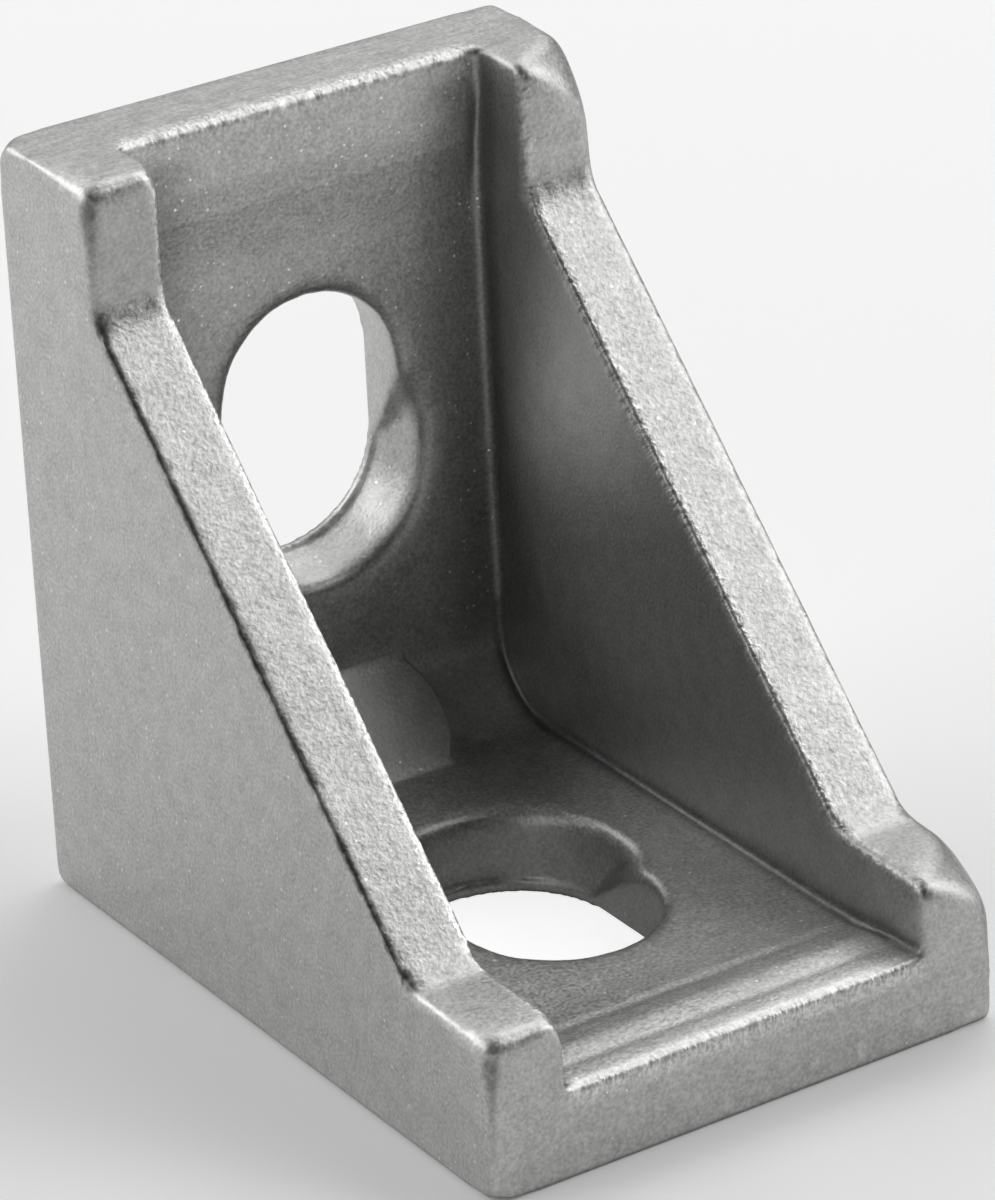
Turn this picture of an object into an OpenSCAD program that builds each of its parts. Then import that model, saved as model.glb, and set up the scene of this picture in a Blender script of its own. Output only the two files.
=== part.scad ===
// Corner bracket for slotted profile, cast in one piece: two equal legs at a right
// angle, stiffened by a triangular gusset on each side.
// The origin is the middle of the outer heel edge, which runs along X. The base leg
// lies along -Y with its mounting face at Z = 0. The upright leg rises along Z with
// its mounting face at Y = 0. The two mould halves part along the diagonal that
// halves the right angle, so everything repeats, mirrored, on the two legs.

/* [Legs] */
// Width of the bracket over both gussets
bracket_w = 20; // [18:0.5:40]
// Length of each leg, from the heel to the tip
leg_len = 28; // [26:0.5:60]
// Thickness of a leg between its heel and its tip
leg_t = 2.95; // [2:0.05:4]
// Thickness of a leg at the raised land along its tip
tip_t = 3.3; // [2.5:0.05:4.5]
// Length of the raised land
tip_land = 1.6; // [0.5:0.1:2.5]
// Length of the slope between the land and the leg
tip_slope = 1.8; // [0.5:0.1:2.2]
// Radius of the two corners at the tip of each leg
tip_corner_r = 0.3; // [0.1:0.1:1.5]
// Radius of the outer heel edge
heel_edge_r = 0.6; // [0.2:0.1:2]
// Radius of the fillet inside the heel, between the legs
heel_fillet_r = 3; // [1:0.1:4]

/* [Gussets] */
// Thickness of each gusset
gusset_t = 2.85; // [2:0.05:4]
// Height of the flat shoulders above the mounting faces
shoulder_h = 5.9; // [5:0.1:9]
// Length of each flat shoulder, measured back from the tip
shoulder_len = 4.7; // [3:0.1:9]
// Radius of the bend where a shoulder meets the diagonal edge
bend_r = 2; // [0.5:0.1:5]
// Radius of the front edge of each shoulder, at the tip
shoulder_edge_r = 0.6; // [0.2:0.1:1.4]
// Radius of the dome that takes off a shoulder's outer corner
dome_r = 8.2; // [8.1:0.1:9.2]
// Distance of the dome's centre from the side and from the tip
dome_inset = 5; // [4.7:0.1:5.1]
// Depth of the dome's centre below the shoulder
dome_below = 6.3; // [5.6:0.1:6.4]
// Radius along the outer edge of a gusset
gusset_outer_r = 0.4; // [0.2:0.05:1]
// Radius along the inner edge of a gusset
gusset_inner_r = 0.3; // [0.1:0.05:1]
// Radius of the small fillet between a gusset and a leg
gusset_fillet_r = 0.3; // [0.1:0.1:1]

/* [Slots] */
// Width of a slot where it is narrowest
slot_w = 6.8; // [4:0.1:8]
// Distance between the centres of a slot's two round ends
slot_travel = 3.1; // [1:0.1:5]
// Distance from the heel to the middle of a slot
slot_mid = 15.45; // [14:0.05:17]
// Draft of the slot walls that open towards the mounting face, in degrees
outer_draft = 8; // [1:0.5:12]
// Flare of the slot walls that open towards the inside, in degrees
inner_flare = 9.5; // [2:0.5:14]
// Width of the ledge where the two mould cores meet
core_ledge = 0.17; // [0.05:0.01:0.4]
// Depth of the ledge below the mounting face
ledge_depth = 0.4; // [0.2:0.05:1]
// Distance from the heel to the point where the cores' meeting face leaves the ledge
core_foot = 14.2; // [12:0.1:16]
// Slope of the face along which the two cores meet, in degrees
core_slope = 40; // [30:1:60]
// Radius of the inner core's two corners along that face
core_corner_r = 2; // [0.5:0.1:3]

/* [Ejector pad] */
// Diameter of the round pad in the heel that the ejector pin pushes on
pad_d = 7; // [4:0.1:9]
// Distance from the outer heel edge to the face of the pad
pad_reach = 6.5; // [6:0.1:8]

/* [Hidden] */
$fn = 64;
// Overlap of a cutting tool past the surface that it cuts
over = 0.5;
// Overlap of two cutting tools where one carries on from the other
joint = 0.02;
// The rounding of a diagonal edge, as a share of that of the bend that it runs into
diagonal_share = 0.9;
// Half the width between the gussets
pocket_half = bracket_w / 2 - gusset_t;
// Centre of the round end of a slot nearest the heel, and of the one nearest the tip
slot_near = slot_mid - slot_travel / 2;
slot_far = slot_mid + slot_travel / 2;
// Radius of the slot's outer core at the ledge
ledge_r = slot_w / 2 + (leg_t - ledge_depth) * tan(outer_draft);
// Turn of the outline at a bend, from a shoulder to the diagonal edge
bend_turn = 45;
// Distance of a bend's two ends from its corner
bend_reach = bend_r * tan(bend_turn / 2);

// The outlines below are drawn in the plane of a gusset. Their first axis is the
// distance from the heel along the base leg, their second the height.
module across(width) {
    rotate([90, 0, 90])
        linear_extrude(width, center = true)
            mirror([1, 0]) children();
}

// The same thing on the base leg and, mirrored in the diagonal, on the upright leg
module on_both_legs() {
    children();
    mirror([0, 1, 1]) children();
}

// The same thing on both sides of the bracket
module on_both_sides() {
    children();
    mirror([1, 0, 0]) children();
}

// The sliver outside a rounded corner at the origin, whose sides run to +X and +Y
module corner_sliver(radius) {
    difference() {
        translate([-over, -over]) square(radius + over);
        translate([radius, radius]) circle(radius);
    }
}

// Fillet inside the bend between a shoulder, to +X, and the diagonal edge
module bend_fill() {
    difference() {
        polygon([
            [0, 0], [bend_reach, 0], [bend_reach, bend_r],
            [-bend_reach * cos(bend_turn), bend_reach * sin(bend_turn)]
        ]);
        translate([bend_reach, bend_r]) circle(bend_r);
    }
}

// Outline of a gusset with its two shoulders
module gusset_outline() {
    difference() {
        union() {
            polygon([
                [0, 0],
                [leg_len, 0],
                [leg_len, shoulder_h],
                [leg_len - shoulder_len, shoulder_h],
                [shoulder_h, leg_len - shoulder_len],
                [shoulder_h, leg_len],
                [0, leg_len]
            ]);
            translate([leg_len - shoulder_len, shoulder_h]) bend_fill();
            mirror([1, -1]) translate([leg_len - shoulder_len, shoulder_h]) bend_fill();
        }
        corner_sliver(heel_edge_r);
        translate([leg_len, shoulder_h]) rotate(180) corner_sliver(shoulder_edge_r);
        translate([shoulder_h, leg_len]) rotate(180) corner_sliver(shoulder_edge_r);
    }
}

// Half of the outline of the space between the gussets: the part over the base leg
module half_pocket_outline() {
    foot = leg_len - tip_land - tip_slope;
    end = leg_len + over;
    polygon([
        [leg_t, leg_t],
        [foot, leg_t],
        [foot + tip_slope, tip_t],
        [end, tip_t],
        [end, end]
    ]);
}

// Outline of the space between the gussets, with the fillet in the heel
module pocket_outline() {
    difference() {
        union() {
            half_pocket_outline();
            mirror([1, -1]) half_pocket_outline();
        }
        translate([leg_t, leg_t]) difference() {
            translate([-over, -over]) square(heel_fillet_r + over);
            translate([heel_fillet_r, heel_fillet_r]) circle(heel_fillet_r);
        }
    }
}

// Bar that rounds an edge along Z, with the material on the side of -X and -Y
module edge_cutter(radius, length) {
    rotate(180)
        linear_extrude(length) corner_sliver(radius);
}

// Small fillet along the foot of a gusset, on the base leg
module gusset_fillet() {
    length = leg_len - tip_land - leg_t;
    translate([pocket_half, -leg_t, leg_t])
        rotate([90, 0, 0])
            linear_extrude(length)
                difference() {
                    translate([-gusset_fillet_r, -over]) square(gusset_fillet_r + over);
                    translate([-gusset_fillet_r, gusset_fillet_r]) circle(gusset_fillet_r);
                }
}

// Round pad that fills the heel fillet in the middle, square to the diagonal
module ejector_pad() {
    seat = pad_d / 2 + leg_t / 4;
    rotate([45, 0, 0])
        translate([0, 0, seat])
            cylinder(d = pad_d, h = pad_reach - seat);
}

// Long hole with round ends through the base leg, whose radius changes with height
module tapered_slot(low, low_r, high, high_r) {
    for (centre = [slot_near, slot_far])
        translate([0, -centre, low])
            cylinder(r1 = low_r, r2 = high_r, h = high - low);
    translate([0, -slot_near, 0])
        rotate([90, 0, 0])
            linear_extrude(slot_travel)
                polygon([[-low_r, low], [low_r, low], [high_r, high], [-high_r, high]]);
}

// What the outer core leaves: a slot that widens towards the mounting face
module outer_core() {
    low = -over;
    high = leg_t + over;
    tapered_slot(
        low, slot_w / 2 + (leg_t - low) * tan(outer_draft),
        high, slot_w / 2 + (leg_t - high) * tan(outer_draft)
    );
}

// What the inner core leaves: a slot that flares towards the inside and starts at a
// ledge just above the mounting face. It stops at the slope where the cores meet.
module inner_core() {
    high = leg_t + over;
    foot_r = ledge_r + core_ledge;
    high_r = foot_r + (high - ledge_depth) * tan(inner_flare);
    intersection() {
        tapered_slot(ledge_depth, foot_r, high, high_r);
        translate([0, -core_foot, ledge_depth])
            rotate([90 - core_slope, 0, 0])
                linear_extrude(2 * leg_len, center = true) core_front(high_r);
    }
}

// Front of the inner core, seen along the slope, with its two lower corners rounded
module core_front(half) {
    translate([-half, core_corner_r]) square([2 * half, leg_len]);
    translate([core_corner_r - half, 0]) square([2 * (half - core_corner_r), leg_len]);
    for (side = [-1, 1])
        translate([side * (half - core_corner_r), core_corner_r]) circle(core_corner_r);
}

// Rounds the edge of a gusset at X = 0, with the material to -X, from the tip of the
// base leg over the shoulder and the bend to the middle of the diagonal edge
module gusset_edge(radius) {
    corner = leg_len - shoulder_len;
    middle = (corner + shoulder_h) / 2;
    half_diagonal = (corner - middle) * sqrt(2) - bend_reach;
    translate([0, -corner - bend_reach, shoulder_h])
        rotate([90, 0, 0]) edge_cutter(radius, shoulder_len);
    translate([0, -corner - bend_reach, shoulder_h + bend_r])
        rotate([0, 90, 0])
            rotate_extrude(angle = bend_turn)
                translate([bend_r, 0]) mirror([0, 1]) corner_sliver(radius);
    translate([0, -middle, middle])
        rotate([135, 0, 0])
            translate([0, 0, -over])
                edge_cutter(diagonal_share * radius, half_diagonal + over + joint);
}

// Rounds the corner at the tip of the base leg, on one side, and takes the outer
// corner of the shoulder off along a large dome
module tip_corner() {
    size = over + shoulder_h + over;
    translate([bracket_w / 2, -leg_len, 0])
        mirror([1, 0, 0]) {
            translate([0, 0, -over])
                linear_extrude(size) corner_sliver(tip_corner_r);
            difference() {
                translate([-over, -over, shoulder_h - dome_below])
                    cube([over + dome_inset, over + dome_inset, dome_below + over]);
                translate([dome_inset, dome_inset, shoulder_h - dome_below]) sphere(dome_r);
            }
        }
}

module bracket() {
    color([0.66, 0.66, 0.67])
        difference() {
            union() {
                difference() {
                    across(bracket_w) gusset_outline();
                    across(2 * pocket_half) pocket_outline();
                }
                on_both_legs() on_both_sides() gusset_fillet();
                ejector_pad();
            }
            on_both_legs() {
                outer_core();
                inner_core();
                on_both_sides() {
                    tip_corner();
                    translate([bracket_w / 2, 0, 0]) gusset_edge(gusset_outer_r);
                    translate([pocket_half, 0, 0])
                        mirror([1, 0, 0]) gusset_edge(gusset_inner_r);
                }
            }
        }
}

bracket();
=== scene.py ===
# %% [markdown]
# # A cast aluminium corner bracket
# This lesson dresses a small die-cast bracket that joins two lengths of slotted
# profile at a right angle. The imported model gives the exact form, in metres: X runs
# across the bracket, the base leg lies along -Y and the upright leg rises along +Z.
# What the exact form lacks is what casting, tumbling and blasting leave behind: worn
# corners, a grainy skin and ragged lines where the mould closed. Those are made here.

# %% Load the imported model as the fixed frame
import math

import bpy
import numpy as np
from mathutils import Matrix, Vector, noise


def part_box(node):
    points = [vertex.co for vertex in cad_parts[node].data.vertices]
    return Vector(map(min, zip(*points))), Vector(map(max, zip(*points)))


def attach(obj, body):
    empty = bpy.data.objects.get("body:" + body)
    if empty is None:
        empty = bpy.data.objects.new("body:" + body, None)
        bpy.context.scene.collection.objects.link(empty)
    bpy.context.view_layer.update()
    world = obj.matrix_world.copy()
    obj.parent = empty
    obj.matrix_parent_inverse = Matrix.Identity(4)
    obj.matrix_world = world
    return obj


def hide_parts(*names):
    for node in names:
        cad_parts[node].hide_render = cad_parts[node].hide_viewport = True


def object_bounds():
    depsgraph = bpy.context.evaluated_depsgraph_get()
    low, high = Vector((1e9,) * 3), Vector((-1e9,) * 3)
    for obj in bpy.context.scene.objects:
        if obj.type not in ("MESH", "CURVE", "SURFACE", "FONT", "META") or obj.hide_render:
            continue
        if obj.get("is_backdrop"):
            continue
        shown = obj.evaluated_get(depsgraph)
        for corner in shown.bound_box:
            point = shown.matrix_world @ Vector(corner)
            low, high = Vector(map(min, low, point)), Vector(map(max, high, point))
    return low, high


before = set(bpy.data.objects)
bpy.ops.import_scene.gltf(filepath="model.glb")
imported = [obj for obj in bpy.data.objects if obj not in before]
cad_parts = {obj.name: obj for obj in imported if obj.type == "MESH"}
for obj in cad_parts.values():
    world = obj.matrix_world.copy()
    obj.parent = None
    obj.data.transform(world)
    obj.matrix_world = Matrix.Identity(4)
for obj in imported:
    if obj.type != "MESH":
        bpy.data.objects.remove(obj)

cad_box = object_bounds()
cad_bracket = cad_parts["bracket"]
low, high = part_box("bracket")
print("bracket, mm:", [round(1000 * (b - a), 2) for a, b in zip(low, high)])

# %% [markdown]
# ## The camera
# The bracket is small and was photographed from about a hand's length away with a
# long lens, from its front left and a little above. A camera in Blender looks along
# its own -Z, so its matrix is filled with three directions: right, up, and back
# towards the viewer. They were found by laying the model's outline over the real
# one until the two agreed.

# %% Camera: place, direction and lens
camera_place = Vector((-0.105811, -0.181786, 0.109613))
camera_right = Vector((0.83301, -0.55143, -0.04495))
camera_up = Vector((0.27521, 0.34252, 0.89830))
camera_back = camera_right.cross(camera_up)
camera_data = bpy.data.cameras.new("camera")
camera_data.sensor_fit = "VERTICAL"
camera_data.sensor_height = 24
camera_data.lens = 132.10
camera_data.clip_start = 0.01
camera = bpy.data.objects.new("camera", camera_data)
turned = Matrix((camera_right, camera_up, camera_back)).transposed().to_4x4()
camera.matrix_world = Matrix.Translation(camera_place) @ turned
bpy.context.scene.collection.objects.link(camera)
bpy.context.scene.camera = camera
print("camera to bracket, mm:", round(1000 * (camera_place - (low + high) / 2).length))

# %% [markdown]
# ## The table
# Small parts are photographed on a white table. This one gives off a little light of
# its own, as a lit acrylic sheet does, which keeps the bracket's shadow pale. Under
# the slot of the base leg no lamp reaches the table, so a small brighter window lies
# there, and the slot shows the same white as the rest. Only the camera sees that
# window. Its light would otherwise brighten the walls of the slot, and on the real
# bracket those are dark.

# %% Table and window
def pale_sheet(name, paint_name, corners, drop, roughness, glow):
    """A flat sheet, drop metres below the bracket, that gives off light of its own."""
    mesh = bpy.data.meshes.new(name)
    mesh.from_pydata([(x, y, 0) for x, y in corners], [], [(0, 1, 2, 3)])
    sheet = bpy.data.objects.new(name, mesh)
    sheet.location.z = low.z - drop
    bpy.context.scene.collection.objects.link(sheet)
    paint = bpy.data.materials.new(paint_name)
    paint.use_nodes = True
    sockets = paint.node_tree.nodes["Principled BSDF"].inputs
    sockets["Base Color"].default_value = (0.86, 0.86, 0.86, 1)
    sockets["Roughness"].default_value = roughness
    sockets["Emission Color"].default_value = (1, 1, 1, 1)
    sockets["Emission Strength"].default_value = glow
    mesh.materials.append(paint)
    sheet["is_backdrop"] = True
    return sheet


def rectangle(left, front, right, back):
    """The four corners of a rectangle, as X and Y."""
    return [(left, front), (right, front), (right, back), (left, back)]


table = pale_sheet("table", "white_table", rectangle(-1.6, -1.6, 1.6, 1.6),
                   drop=0.00002, roughness=0.7, glow=0.12)
window = pale_sheet("lit_window", "lit_window", rectangle(-0.005, -0.022, 0.005, -0.009),
                    drop=0.00001, roughness=0.5, glow=0.8)
window.visible_diffuse = window.visible_glossy = False
print("window, mm:", [round(1000 * side, 1) for side in window.dimensions])

# %% [markdown]
# ## The light
# The lamps are large and square, as soft boxes are, so a rough metal shows smooth
# changes of tone instead of sharp glints. They stand in a ring to both sides of the
# bracket and behind it. Each face of the bracket mirrors other lamps, so its tone on
# the real one tells how strong those are, and that is how the strengths were found.
# Nothing shines from the front left, where the viewer stands, and that is why edges
# that turn that way look darker than the faces beside them. The Standard view
# transform keeps every tone as it was lit. The one that Blender starts with would
# squeeze the light tones together, as film does.

# %% Lamps and room
def softbox(name, azimuth, elevation, strength, distance=0.5, size=0.30):
    """A square lamp that faces the bracket. Azimuth 0 is in front, 90 on the right."""
    a, e = math.radians(azimuth), math.radians(elevation)
    towards = Vector((math.sin(a) * math.cos(e), -math.cos(a) * math.cos(e), math.sin(e)))
    lamp = bpy.data.lights.new(name, "AREA")
    lamp.shape = "SQUARE"
    lamp.size = size
    lamp.energy = strength * distance ** 2
    holder = bpy.data.objects.new(name, lamp)
    holder.location = (low + high) / 2 + towards * distance
    holder.rotation_euler = towards.to_track_quat("Z", "Y").to_euler()
    bpy.context.scene.collection.objects.link(holder)
    print(name, "shines from", [round(v, 2) for v in holder.location])


softbox("left_lamp", -110, 25, 1.97)
softbox("left_high_lamp", -120, 50, 0.45)
softbox("left_back_lamp", -150, 25, 3.29)
softbox("back_lamp", 180, 50, 1.34)
softbox("right_back_lamp", 150, 25, 0.75)
softbox("right_high_lamp", 120, 50, 2.64)
softbox("right_front_lamp", 60, 50, 2.22)
softbox("right_lamp", 70, 25, 2.13)
softbox("right_low_lamp", 60, 18, 1.23, distance=0.52)

world = bpy.data.worlds.new("room")
world.use_nodes = True
background = world.node_tree.nodes["Background"].inputs
background["Color"].default_value = (1, 1, 1, 1)
background["Strength"].default_value = 0.03
bpy.context.scene.world = world
bpy.context.scene.view_settings.view_transform = "Standard"

# %% [markdown]
# ## The casting
# Aluminium is pressed into a steel mould, and afterwards the castings are tumbled
# and blasted with fine beads. The exact model is crisper than that, and its faces are
# a few large ones, with no points inside them that could be moved. So a copy of it
# is rebuilt by a voxel remesh, which covers the whole form with small even squares.
# Every point can then be moved a little, as the blasting moved the real metal. The
# squares are an eighth of a millimetre, small enough for the finest lumps, and at
# the end a Decimate modifier thins them out again where the metal is plain.

# %% Copy of the exact form, remeshed
def apply_modifiers():
    """Replace the casting's mesh by what its modifiers make of it."""
    graph = bpy.context.evaluated_depsgraph_get()
    made = bpy.data.meshes.new_from_object(casting.evaluated_get(graph))
    casting.modifiers.clear()
    casting.vertex_groups.clear()
    casting.data = made
    made.name = casting.name
    return made


casting = bpy.data.objects.new("casting", cad_bracket.data.copy())
bpy.context.scene.collection.objects.link(casting)
remesh = casting.modifiers.new("even squares", "REMESH")
remesh.mode = "VOXEL"
remesh.voxel_size = 0.00013
remesh.use_smooth_shade = True
even_mesh = apply_modifiers()
print("points:", len(even_mesh.vertices), "faces:", len(even_mesh.polygons))

# %% [markdown]
# ## Reading the form
# Most of the next steps change the casting at certain places only, so each point has
# to know where on the bracket it lies. Both legs are alike, and each point gets the
# same three measures on either leg: across the bracket, along its leg from the heel,
# and above its leg's mounting face. A point belongs to the leg along which it lies
# further out. The places could also be painted by hand as vertex groups, but a
# measure is exact and takes one line to change. All of them are in millimetres.

# %% Points and measures, in millimetres
millimetre = 0.001


def points_of(mesh):
    """The mesh's points, one row of millimetres each."""
    flat = np.empty(3 * len(mesh.vertices), np.float32)
    mesh.vertices.foreach_get("co", flat)
    return flat.reshape(-1, 3).astype(float) / millimetre


def measures(rows):
    """Across the bracket, along the point's leg, above that leg's mounting face."""
    back, up = -rows[:, 1], rows[:, 2]
    return rows[:, 0], np.maximum(back, up), np.minimum(back, up)


points = points_of(even_mesh)
for name, values in zip(("across", "along", "above"), measures(points)):
    print(name, "runs from", round(values.min(), 2), "to", round(values.max(), 2))

# %% [markdown]
# ## Crisp corners on the left
# The exact model takes the outer corner off each of the four shoulders with a plain
# dome. On the right that is what the real bracket shows. Its left corners are nearly
# crisp, as if this side had lain against another casting in the drum. There each
# point goes out along the corner's own direction until it meets the first of the
# corner's three faces. The wear that comes later then rounds the corner a little.

# %% Push the left shoulders' corners out
half_width, leg_length, shoulder_height = 10.0, 28.0, 5.9
left_shoulders = [(-half_width, -leg_length, shoulder_height),
                  (-half_width, -shoulder_height, leg_length)]
right_shoulders = [(half_width, -leg_length, shoulder_height),
                   (half_width, -shoulder_height, leg_length)]
dome_reach, wall = 4.0, 2.7
for corner in np.array(left_shoulders):
    outward = np.sign(corner)
    depth = (corner - points) * outward
    near = (np.abs(depth) < dome_reach).all(axis=1) & (depth[:, 0] < wall)
    push_out = np.where(near, np.clip(depth.min(axis=1), 0, None), 0)
    points += push_out[:, None] * outward
    print("corner", corner, "points pushed out:", int((push_out > 0).sum()))

# %% [markdown]
# ## Round corners at the feet of the legs
# The four corners where a leg's tip meets its mounting face are hit most in the drum,
# and the left ones are the roundest. A bevel needs an edge to work on, and the
# remesh has left none. So a ball is laid into each corner, and the points beyond it
# are drawn in to its surface.

# %% Draw the corners in to a ball
foot_corners = [(end * half_width, -out, up) for end in (-1, 1)
                for out, up in ((leg_length, 0), (0, leg_length))]
middle = np.array([0, -leg_length / 2, leg_length / 2])
for corner in np.array(foot_corners):
    inset, radius = (1.75, 2.6) if corner[0] < 0 else (1.05, 1.6)
    inward = np.sign(middle - corner)
    centre = corner + inset * inward
    ray = points - centre
    length = np.linalg.norm(ray, axis=1)
    outside = (ray * inward < 0).all(axis=1) & (length > radius)
    points[outside] = centre + ray[outside] * (radius / length[outside])[:, None]
    print("corner", corner, "points drawn in:", int(outside.sum()))

# %% [markdown]
# ## Tighter long edges
# The halves of the mould meet on the gussets' long diagonal edges, so those edges
# are nearly sharp, except on the outside of the right gusset. Points beside such an
# edge are drawn out towards the line where its two faces would meet. All the way
# would give a knife edge, so strength says which share of the way they go.

# %% Draw the long diagonal edges out
def put_points(mesh, rows):
    """Move the mesh's points to these rows of millimetres."""
    mesh.vertices.foreach_set("co", (rows * millimetre).astype(np.float32).ravel())
    mesh.update()


root_two = math.sqrt(2)
inner_face, diagonal_reach, edge_reach = 7.15, 29.2 / root_two, 0.45
across, along, above = measures(points)
from_diagonal = diagonal_reach - (along + above) / root_two
on_gusset = above > 6.2
for side_face, outward, strength in ((-half_width, -1, 0.8), (half_width, 1, 0.2),
                                     (-inner_face, 1, 0.7), (inner_face, -1, 0.7)):
    from_side = (side_face - points[:, 0]) * outward
    beside_edge = (np.maximum(from_side, from_diagonal) < edge_reach) & on_gusset
    draw = strength * np.clip(np.minimum(from_side, from_diagonal), 0, None) * beside_edge
    points += draw[:, None] * np.array([outward, -1 / root_two, 1 / root_two])
    print("edge at x", side_face, "points drawn out:", int((draw > 0).sum()))
put_points(even_mesh, points)

# %% [markdown]
# ## Where tumbling wears the casting
# In the drum the castings knock against each other. That takes a little off every
# edge and much more off every corner, because a corner is hit from three sides. A
# weight from 0 to 1 says how strongly each place is worn. It is full at a corner, a
# rim or an edge and fades out around it. The right shoulders are worn the widest.

# %% Weights at the corners
def fade(distance, core, reach):
    """1 inside core, 0 beyond reach, with a smooth step between the two."""
    t = np.clip((reach - distance) / (reach - core), 0, 1)
    return t * t * (3 - 2 * t)


def around(corners, core, reach):
    """A weight that is full within core of a corner and gone beyond reach."""
    return np.max([fade(np.linalg.norm(points - np.array(corner), axis=1), core, reach)
                   for corner in corners], axis=0)


corner_wear = around(left_shoulders, 1.2, 2.4)
corner_wear = np.maximum(corner_wear, 0.2 * around(foot_corners, 1.2, 1.9))
dome_wear = around(right_shoulders, 1.6, 4.4)
print("points near a corner:", int((corner_wear > 0).sum()),
      "on the domes:", int((dome_wear > 0).sum()))

# %% Weights at the left edges
def left_edges(core, reach):
    """The outer edges that meet in a left shoulder's corner, with core and reach as in fade."""
    outside = half_width - np.abs(across)
    at_tip = fade(np.hypot(outside, leg_length - along), core, reach) * fade(-above, -5.2, -1.6)
    at_shoulder = fade(np.hypot(outside, shoulder_height - above), core, reach)
    at_shoulder *= (fade(-along, -27.0, -23.5) * 0.5 + 0.5) * fade(-along, -23.8, -23.2)
    from_crest = np.hypot(leg_length - along, shoulder_height - above)
    at_crest = fade(from_crest, 0.6 * core, 0.65 * reach) * (above > 5)
    return np.max([at_tip, at_shoulder, at_crest], axis=0) * (across < 0)


across, along, above = measures(points)
edge_wear = left_edges(0.7, 1.5)
print("points near a left edge:", int((edge_wear > 0).sum()))

# %% Weights at the lips of the legs and round the slots
leg_thickness, land_height = 2.95, 3.3
slot_near, slot_far = 13.9, 17.0
from_lip = np.hypot(along - leg_length, above - land_height)
lip_wear = fade(from_lip, 0.5, 1.1) * fade(np.abs(across), 6.5, 7.1)
rim_wear = np.maximum(lip_wear, edge_wear)
from_slot = np.hypot(across, along - np.clip(along, slot_near, slot_far))
slot_wear = fade(np.abs(above - leg_thickness), 0.4, 1.1) * fade(from_slot, 4.9, 5.8)
print("points near a lip:", int((lip_wear > 0).sum()),
      "near a slot:", int((slot_wear > 0).sum()))

# %% [markdown]
# ## Wearing it
# A Smooth modifier moves every point towards the middle of its neighbours. That
# rounds whatever sticks out, as tumbling does. The first one goes lightly over the
# whole casting. The others are held to a vertex group, which passes on the weights,
# and repeat the move more often, because a wide round needs many small moves.

# %% Relax the whole mesh, then the worn places
def relax(name, iterations, weights=None):
    """Add a Smooth modifier, held to a vertex group where weights are given."""
    smooth = casting.modifiers.new(name, "SMOOTH")
    smooth.factor, smooth.iterations = 0.5, iterations
    if weights is not None:
        group = casting.vertex_groups.new(name=name)
        for level in range(1, 11):
            chosen = np.nonzero(np.round(weights * 10) == level)[0]
            group.add(chosen.tolist(), level / 10, "REPLACE")
        smooth.vertex_group = group.name


relax("all edges", 4)
relax("corners", 60, corner_wear)
relax("domes", 110, dome_wear)
relax("rims", 40, rim_wear)
relax("slots", 90, slot_wear)
worn_mesh = apply_modifiers()
print("worn points:", len(worn_mesh.vertices))

# %% [markdown]
# ## Measuring the worn casting
# All points have moved, so they are measured again. Two more numbers help with what
# follows: how far a point looks along the diagonal on which the mould opens, from
# its normal, and how far out on that diagonal it lies. The lumps that every later
# step uses come from smooth noise in space. It has no seed of its own, so each use
# shifts it by another distance, and the result is the same on every run.

# %% Measures, normals and lumps
points = points_of(worn_mesh)
across, along, above = measures(points)
side = np.abs(across)
on_base = -points[:, 1] > points[:, 2]
flat_normals = np.empty(3 * len(points), np.float32)
worn_mesh.vertex_normals.foreach_get("vector", flat_normals)
normals = flat_normals.reshape(-1, 3).astype(float)
facing_diagonal = (normals[:, 2] - normals[:, 1]) / root_two
past_diagonal = (along + above) / root_two


def lumps(size, shift, stretch=(1, 1, 1)):
    """Smooth heights from -1 to 1 over the points. size is a lump's width in mm."""
    offset = Vector((shift * 17.3, shift * 5.1, shift * 11.7))
    rows = points * (np.array(stretch) / size)
    return np.array([noise.noise(Vector(row) + offset) for row in rows])


print("worn size, mm:", np.round(np.ptp(points, axis=0), 2),
      "points on the upright leg:", int((~on_base).sum()))

# %% [markdown]
# ## Sand on the diagonal edges
# On the diagonal edges the steel of the mould is rough, so the metal comes out
# coarse like sandpaper, and where the rough band ends, its outline is ragged. The
# band is found by direction: its points look along the diagonal. Lumps of two sizes
# push them in and out, hardly on the flat of the band and more on its edges. push
# adds up what every step does to a point, in millimetres along its normal.

# %% Coarse bands
before_shoulder = (above > 5.7) * fade(along, 23.4, 24.2)
coarse = fade(-facing_diagonal, -0.90, -0.55) * before_shoulder
flat_band = fade(-facing_diagonal, -0.975, -0.90) * before_shoulder
edge_of_band = np.clip(coarse - flat_band, 0, 1)
sand = 0.6 * lumps(0.42, 1) + 0.4 * lumps(0.27, 2)
push = 0.005 * flat_band * sand + 0.05 * edge_of_band * sand
print("points on coarse bands:", int((flat_band > 0.5).sum()))

# %% [markdown]
# ## The lands at the tips
# Along the tip of each leg lies a raised land, where the mould halves shut against
# each other. Behind it the leg slopes down. On the exact model that slope is
# straight, and here it is eased into a long soft curve. On the base leg a soft ridge
# runs along the land's back, with a slight hollow on either side. The upright leg
# has only two shallow hollows. Each is a narrow band along X, given by its distance
# from the heel.

# %% Slope, ridge and hollows
def band(value, middle, half):
    """1 at the middle, fading to 0 at half its width to either side."""
    return fade(np.abs(value - middle), 0, half)


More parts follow.
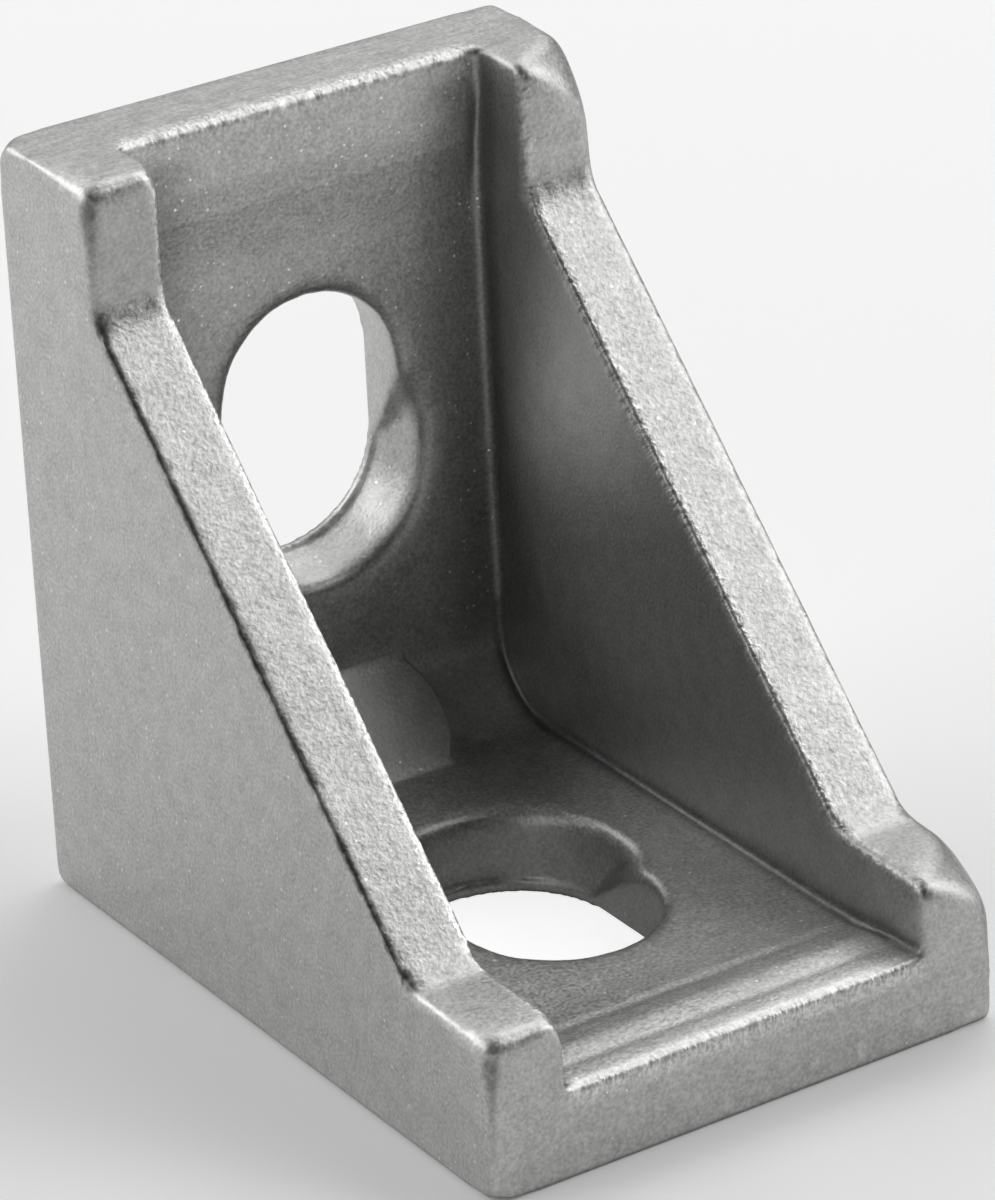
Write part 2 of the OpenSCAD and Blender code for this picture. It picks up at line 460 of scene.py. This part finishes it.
land_rise = land_height - leg_thickness
slope_start, slope_length = 24.6, 1.8
slope = leg_thickness + land_rise * np.clip((along - slope_start) / slope_length, 0, 1)
eased = leg_thickness + land_rise * fade(-along, -26.3, -22.2)
on_base_relief = (0.05 * band(along, 25.6, 0.8) - 0.03 * band(along, 26.65, 0.35)
                  - 0.05 * band(along, 24.4, 0.5))
on_upright_relief = -0.012 * band(along, 27.15, 0.25) - 0.015 * band(along, 26.1, 0.3)
relief = np.where(on_base, on_base_relief, on_upright_relief)
on_top = fade(side, 6.6, 7.1) * (above > 2.6) * (above < 3.6)
push += on_top * (along > 22) * (eased - slope + relief)
print("highest and lowest relief, mm:", round(relief.max(), 3), round(relief.min(), 3))

# %% [markdown]
# ## Ragged rims and full domes
# The front rim of each land looks scraped. Its lumps are stretched along the way the
# mould opened, so they read as short strokes. The left edges get finer lumps. On the
# right, the wear has taken a little too much off the domes, so they are filled again
# from within, most in the middle.

# %% Rims and domes
rim = on_top * band(along, 27.8, 0.6)
strokes = lumps(0.24, 3, (1, 0.35, 0.35))
left_rim = left_edges(0.4, 1.0)
push += rim * 0.03 * strokes + left_rim * 0.014 * lumps(0.30, 9)
for corner in right_shoulders:
    from_corner = np.linalg.norm(points - np.array(corner), axis=1)
    push += 0.13 * fade(from_corner, 0.5, 4.4) * (facing_diagonal > -0.2)
print("points on the ragged rims:", int((rim > 0.3).sum()))

# %% [markdown]
# ## The seam beside the left band
# Where the two halves of the mould shut, a thin skin of metal creeps between them,
# and blasting breaks it off along a ragged step in shade. That shade is painted as a
# dark band that wanders and comes and goes, whose place is shifted by lumps and whose
# strength follows larger lumps. The points beside it move a little, so that the edge
# isn't ruled. A drawn picture could do this too, but it would have to be unwrapped on.

# %% Seam
wander = 0.10 * lumps(0.55, 10) + 0.05 * lumps(0.25, 11)
seam = band(side + wander, 9.88, 0.24) * (above > 5.7) * fade(along, 23.2, 23.8)
seam *= fade(-facing_diagonal, -0.5, -0.3) * np.clip(0.65 + 1.1 * lumps(0.8, 12), 0, 1)
seam *= across < 0
near_edge = band(across, -9.9, 0.4) * fade(diagonal_reach - past_diagonal, 0.2, 0.5)
push += 0.04 * near_edge * fade(along, 23, 23.6) * lumps(0.4, 13)
print("points on the seam:", int((seam > 0.3).sum()))

# %% [markdown]
# ## A skin that is never quite flat
# Cast walls sink a little as they cool, and blasting leaves shallow dimples. Three
# layers of low lumps over all points are enough for light to wander over the faces.
# The mounting faces stay flat, because the bracket is clamped on them. Then all the
# moves that were added up are made at once.

# %% Skin, and the move itself
skin = 0.018 * lumps(2.6, 4) + 0.006 * lumps(0.7, 5) + 0.003 * lumps(0.4, 6)
push += skin * (1 - fade(above, 0.05, 0.25))
moved = points + normals * push[:, None]
widest = half_width + 0.05
moved[:, 0] = np.clip(moved[:, 0], -widest, widest)
put_points(worn_mesh, moved)
print("largest move, mm:", round(float(np.abs(push).max()), 3))

# %% [markdown]
# ## What the material has to know
# A material can't see that a point lies on a rim or a seam. So the mesh carries a
# number for each such place, from 0 to 1, as an attribute of its points, and the
# material reads it by its name. First come the places that are known already.

# %% Bands, seam and rims
def remember(name, values):
    """Store a number for every point, which the material reads later by its name."""
    attribute = worn_mesh.attributes.new(name, "FLOAT", "POINT")
    attribute.data.foreach_set("value", np.clip(values, 0, 1).astype(np.float32))
    print(name, "on points:", int((values > 0.3).sum()))


remember("coarse", coarse)
remember("seam", seam)
remember("rim", rim)

# %% [markdown]
# ### Edges that face the viewer
# The upright edges below the left shoulders' corners are the darkest lines on the
# real bracket, because they turn towards the front left, where no lamp stands. They
# are strongest at the corner and die out below it. This number paints that shade.

# %% Painted shade on the edges that face the viewer
facing_front = (normals[:, 1] - np.abs(normals[:, 0])) / root_two
front_edge_shade = fade(facing_front, -0.97, -0.80) * (side > 9.0) * (along > 23.0) * (above > 1.5)
front_edge_shade *= fade(np.where(on_base, above, along - 22.1), 5.1, 5.6)
below_corner = np.where(on_base, fade(-above, -5.2, -2.2), fade(-along, -27.3, -25.5))
remember("front_edge_shade", front_edge_shade * (0.35 + 0.65 * below_corner))

# %% [markdown]
# ### Grain, scrapes and teeth
# The cores that left the inner faces of the legs were rougher than the mould
# outside, so the grain there is stronger and glitters. Below the front rims the
# metal is scraped, and along the inner edges of the gussets it is bitten into short
# teeth, lightened evenly as a painted highlight of those edges. The top of the
# upright leg shows fine stripes across the bracket.

# %% Grain, scrapes, teeth and stripes
inner_side = fade(np.abs(above - leg_thickness), 0.3, 0.6)
remember("grainy", inner_side * fade(side, 7.0, 7.3) * (along > 5))
tip_face = 27.7
remember("scraped", fade(side, 6.7, 7.0) * (along > tip_face) * band(above, leg_thickness, 0.4))
tooth_row = 7.2
from_outline = np.maximum(diagonal_reach - past_diagonal, shoulder_height - above)
teeth_on_row = band(side, tooth_row, 0.5) * fade(from_outline, 0.15, 0.55)
remember("teeth", teeth_on_row * (along < tip_face))
on_tip = along > 27.85
striped = on_tip * fade(facing_diagonal, 0.75, 0.85)
remember("tip", striped * np.where(on_base, 0.25, 1.0))

# %% [markdown]
# ### Painted highlights and rubbed places
# Metal that was rubbed in the drum is lighter than the blasted skin, as a few nicks
# on the front are. The left edges and the top of the lower left shoulder get a
# painted highlight where they face up. The heel is a little lighter, too, because
# the ejector pin has polished it.

# %% Painted highlights on the faces that look up, nicks and heel
facing_up = normals[:, 2]
edges = left_edges(0.3, 1.1) * fade(-facing_up, -0.3, -0.05)
edges *= np.clip(0.8 + 0.8 * lumps(0.35, 14), 0, 1)
shoulder_top_highlight = (across < 0) * on_base * (above > 5) * fade(-along, -25, -23.8)
shoulder_top_highlight *= fade(-facing_up, -0.9, -0.7)
nicks = np.clip(4 * lumps(0.45, 15) - 1.4, 0, 1) * fade(np.abs(above - 0.8), 0.3, 0.7)
nicks *= on_base * on_tip * (across > -8)
between_gussets = side < 7.3
in_heel = fade(past_diagonal, 6, 10) * between_gussets * (above > 1)
# Painted highlights on the left edges and shoulder top, with real nicks and a polished heel.
remember("highlight_and_wear", np.max([edges, 0.5 * shoulder_top_highlight, nicks, 0.8 * in_heel], axis=0))

# %% [markdown]
# ### Painted shade in the hollows
# Shade is painted into the colour where the real bracket lies in shade: in the small
# fillets at the gussets' feet, on the right gusset's inner face, most in its corner,
# beside the gussets on the upright leg, and as a thin contact shadow along the lower
# edge of the base leg. Each of these is one mask. Where several meet, the strongest
# counts.

# %% Painted shade in the small fillets
heel_centre, heel_radius, fillet_side = 5.95, 3.0, 7.0
over_heel = heel_radius - np.hypot(heel_centre - along, heel_centre - above)
over_leg = np.where(along < heel_centre, over_heel, above - eased)
from_fillet = np.hypot(side - fillet_side, over_leg - 0.1)
fillet_shade = 0.25 * fade(from_fillet, 0.25, 0.6) + 0.45 * fade(from_fillet, 0.1, 0.35)
fillet_shade *= np.where(on_base | (along < 7), 1.0, 0.5) * (along < 27.8)
print("points in the fillets:", int((fillet_shade > 0.3).sum()))

# %% Painted shade on the right gusset and the upright leg, contact shadow below
right_inside = (across > 0) * (normals[:, 0] < -0.5) * (above > 3.2)
gusset_face_shade = 0.15 * right_inside * (1 - on_base * fade(-along, -26, -24))
corner_width = 1.2 + 2.4 * fade(along, 6, 16)
gusset_corner_shade = 0.45 * right_inside * fade(over_leg / corner_width, 0.4, 1.3)
gusset_corner_shade *= np.where(on_base, fade(along, 5, 9), 1)
contact_shadow = 0.6 * fade(above, 0.04, 0.22) * on_base
# Painted shade beside the gussets on the upright leg.
beside = 0.5 * fade(7.1 - side, 0.8, 3.4) * between_gussets * (above > 2) * (above < 3.4)
beside *= fade(-along, -7, -4) * fade(along, 26.5, 27.5) * ~on_base
remember("painted_shade", np.max([fillet_shade, gusset_face_shade, gusset_corner_shade, contact_shadow, beside], axis=0))

# %% [markdown]
# ## Thinning the mesh
# Even squares are wasteful on plain faces. A Decimate modifier joins points where
# that changes the form least, until the number of triangles fits. It keeps the
# attributes, so it comes after them.

# %% Thin out
triangles_wanted = 190000
thin = casting.modifiers.new("thin out", "DECIMATE")
thin.ratio = triangles_wanted / (2 * len(worn_mesh.polygons))
final_mesh = apply_modifiers()
final_mesh.calc_loop_triangles()
print("triangles at the end:", len(final_mesh.loop_triangles))

# %% [markdown]
# ## The metal
# Blasted aluminium is a mirror broken into grains: the metal itself reflects two
# thirds of the light, and its rough skin spreads that light widely. So the material
# is a metal with a high roughness, and fine noise in its bump and colour stands for
# the grains. A grey plastic of the same tone would look wrong as soon as it is
# turned, because it has no mirror in it. The helpers below add the nodes and join
# them, so that each pattern can be written as a short sum.

# %% Helpers for the material
metal = bpy.data.materials.new("cast_aluminium")
metal.use_nodes = True
tree = metal.node_tree
shader = tree.nodes["Principled BSDF"]
place = tree.nodes.new("ShaderNodeTexCoord").outputs["Object"]


def link(value, socket):
    """Put a number on a socket, or join another node's output to it."""
    if isinstance(value, bpy.types.NodeSocket):
        tree.links.new(value, socket)
    else:
        socket.default_value = value


def sum_up(operation, first, second=0.0, third=0.0, clamp=False):
    """One step of arithmetic on numbers that vary over the surface."""
    node = tree.nodes.new("ShaderNodeMath")
    node.operation = operation
    node.use_clamp = clamp
    for value, socket in zip((first, second, third), node.inputs):
        link(value, socket)
    return node.outputs[0]


def times(first, second):
    """first times second."""
    return sum_up("MULTIPLY", first, second)


def times_plus(first, second, third, clamp=False):
    """first times second, plus third."""
    return sum_up("MULTIPLY_ADD", first, second, third, clamp)


def speckle(width, detail=2.0, stretch=None, turn=0.0):
    """Noise around zero. width is a lump's width in metres.

    stretch makes the lumps longer along X, Y and Z. turn first turns them about X.
    """
    node = tree.nodes.new("ShaderNodeTexNoise")
    node.inputs["Scale"].default_value = 1 / width
    node.inputs["Detail"].default_value = detail
    source = place
    if stretch:
        mapping = tree.nodes.new("ShaderNodeMapping")
        mapping.vector_type = "TEXTURE"
        mapping.inputs["Scale"].default_value = stretch
        mapping.inputs["Rotation"].default_value = (turn, 0, 0)
        tree.links.new(place, mapping.inputs["Vector"])
        source = mapping.outputs["Vector"]
    tree.links.new(source, node.inputs["Vector"])
    return sum_up("SUBTRACT", node.outputs["Fac"], 0.5)


def remembered(name):
    """A number that the mesh carries for each of its points."""
    node = tree.nodes.new("ShaderNodeAttribute")
    node.attribute_name = name
    return node.outputs["Fac"]


print("nodes to start with:", len(tree.nodes))

# %% [markdown]
# ### Grain, mottling and glints
# Seen close, three things vary on the real skin: grains of about a seventh of a
# millimetre, soft clouds five times as large, and single crystals that catch the
# light. Grain and clouds are noise. A crystal is a small disc round the middle of a
# Voronoi cell, and the cell's own random colour decides whether it has one, how
# large it is and how bright. Its glint is painted into the colour, on a smoother spot.

# %% Grain, clouds, grit and glints
fine = speckle(0.00013, 3.0)
clouds = speckle(0.0007)
grit = speckle(0.00021, 3.0)
cells = tree.nodes.new("ShaderNodeTexVoronoi")
cells.inputs["Scale"].default_value = 1 / 0.00032
tree.links.new(place, cells.inputs["Vector"])
chance = tree.nodes.new("ShaderNodeSeparateColor")
tree.links.new(cells.outputs["Color"], chance.inputs["Color"])
has_crystal = sum_up("GREATER_THAN", chance.outputs["Red"], 0.62)
in_disc = sum_up("LESS_THAN", cells.outputs["Distance"], times(chance.outputs["Green"], 0.22))
glint = times(times(has_crystal, in_disc), chance.outputs["Blue"])
print("nodes with the grain:", len(tree.nodes))

# %% [markdown]
# ### Strokes, teeth, painted shade and a painted highlight
# Scrapes run the way the mould opened, the stripes on the tip run across the
# bracket, and the teeth point out along the diagonal, so each is noise stretched
# that way. Shade is painted on the seam and on the edges that face the viewer, and a
# highlight on the lands' rims. Grit and scrapes break these up, so they aren't even.

# %% Strokes, teeth, painted shade and painted highlight
scrape = speckle(0.00012, 2.0, (1, 3, 3))
stripes = speckle(0.00022, 2.0, (8, 1, 1))
bitten = speckle(0.00022, 2.0, (1, 1, 3), math.radians(45))
in_seam = remembered("seam")
# Painted shade along the seam's step, broken up by grit.
seam_shade = times_plus(in_seam, 1.5, times_plus(grit, 1.3, 0.05), clamp=True)
seam_shade = times(seam_shade, sum_up("GREATER_THAN", in_seam, 0.02))
# Painted shade on the edges that face the viewer, broken up by grit.
painted_front_edge_shade = times(remembered("front_edge_shade"), times_plus(grit, 1.2, 0.75))
# A painted highlight on the lands' front rims, together with their scrapes.
rim_highlight_and_scrapes = times(remembered("rim"), times_plus(scrape, 2.4, 0.7, clamp=True))
print("nodes with strokes and dirt:", len(tree.nodes))

# %% [markdown]
# ### How light the metal is
# The colour starts from the middle grey of blasted aluminium. Each pattern adds to
# it or takes from it where the mesh says that the pattern belongs, and then painted
# shade on the seam, on the edges that face the viewer and in the hollows takes its
# share off. The blue is a touch weaker, which gives the warm cast of the real metal.

# %% Colour
sandy, grainy, teeth = remembered("coarse"), remembered("grainy"), remembered("teeth")
scraped, tip = remembered("scraped"), remembered("tip")
level = times_plus(clouds, 0.16, times_plus(fine, 0.50, 0.495))
# The teeth row's steady lightening is a painted highlight of the gussets' inner edges.
for pattern, strength in ((times(fine, grainy), 0.25), (times(scrape, scraped), 0.5),
                          (times(bitten, teeth), 1.0), (teeth, 0.2),
                          (times(stripes, tip), 0.24), (times(grit, sandy), 0.42),
                          (sandy, 0.02), (grainy, 0.065),
                          # Crystals painted lighter: a painted glint.
                          (times(glint, times_plus(grainy, 0.9, 0.2)), 1.0),
                          (rim_highlight_and_scrapes, 0.10), (remembered("highlight_and_wear"), 0.14)):
    level = times_plus(pattern, strength, level)
# The painted shade and painted contact shadow darken the colour here.
for painted_dark, share in ((seam_shade, 0.6), (painted_front_edge_shade, 0.6), (remembered("painted_shade"), 0.85)):
    level = times(level, times_plus(painted_dark, -share, 1.0))
tint = tree.nodes.new("ShaderNodeCombineColor")
tree.links.new(level, tint.inputs["Red"])
tree.links.new(level, tint.inputs["Green"])
tree.links.new(times(level, 0.985), tint.inputs["Blue"])
tree.links.new(tint.outputs["Color"], shader.inputs["Base Color"])
shader.inputs["Metallic"].default_value = 1.0
print("nodes with the colour:", len(tree.nodes))

# %% [markdown]
# ### How rough it is
# The grains spread the light a little differently from one to the next, and a
# crystal is smoother than the rest. The same patterns also tilt the surface, as
# bumps of a few hundredths of a millimetre. They are too small to be worth
# triangles. All that is larger was made in the mesh.

# %% Roughness and bumps
link(times_plus(glint, -0.15, times_plus(fine, 0.25, 0.45)), shader.inputs["Roughness"])
height = times_plus(fine, 0.5, times(clouds, 0.5))
for pattern, strength in ((times(grit, sandy), 0.6), (times(scrape, scraped), 1.5),
                          (times(bitten, teeth), 2.4), (times(glint, grainy), 0.6)):
    height = times_plus(pattern, strength, height)
bump = tree.nodes.new("ShaderNodeBump")
bump.inputs["Strength"].default_value = 1.0
bump.inputs["Distance"].default_value = 0.000028
tree.links.new(height, bump.inputs["Height"])
tree.links.new(bump.outputs["Normal"], shader.inputs["Normal"])
casting.data.materials.clear()
casting.data.materials.append(metal)
print("nodes in the metal:", len(tree.nodes))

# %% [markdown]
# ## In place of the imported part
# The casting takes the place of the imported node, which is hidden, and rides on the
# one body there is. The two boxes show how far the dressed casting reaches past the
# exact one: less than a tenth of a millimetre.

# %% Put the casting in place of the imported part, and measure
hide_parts("bracket")
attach(casting, "root")
bpy.context.view_layer.update()


def plain(value):
    """Nested vectors as plain lists of numbers."""
    return [plain(v) for v in value] if hasattr(value, "__len__") else float(value)


{"cad": plain(cad_box), "visual": plain(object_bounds())}
print("boxes:", plain(cad_box), plain(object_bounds()))
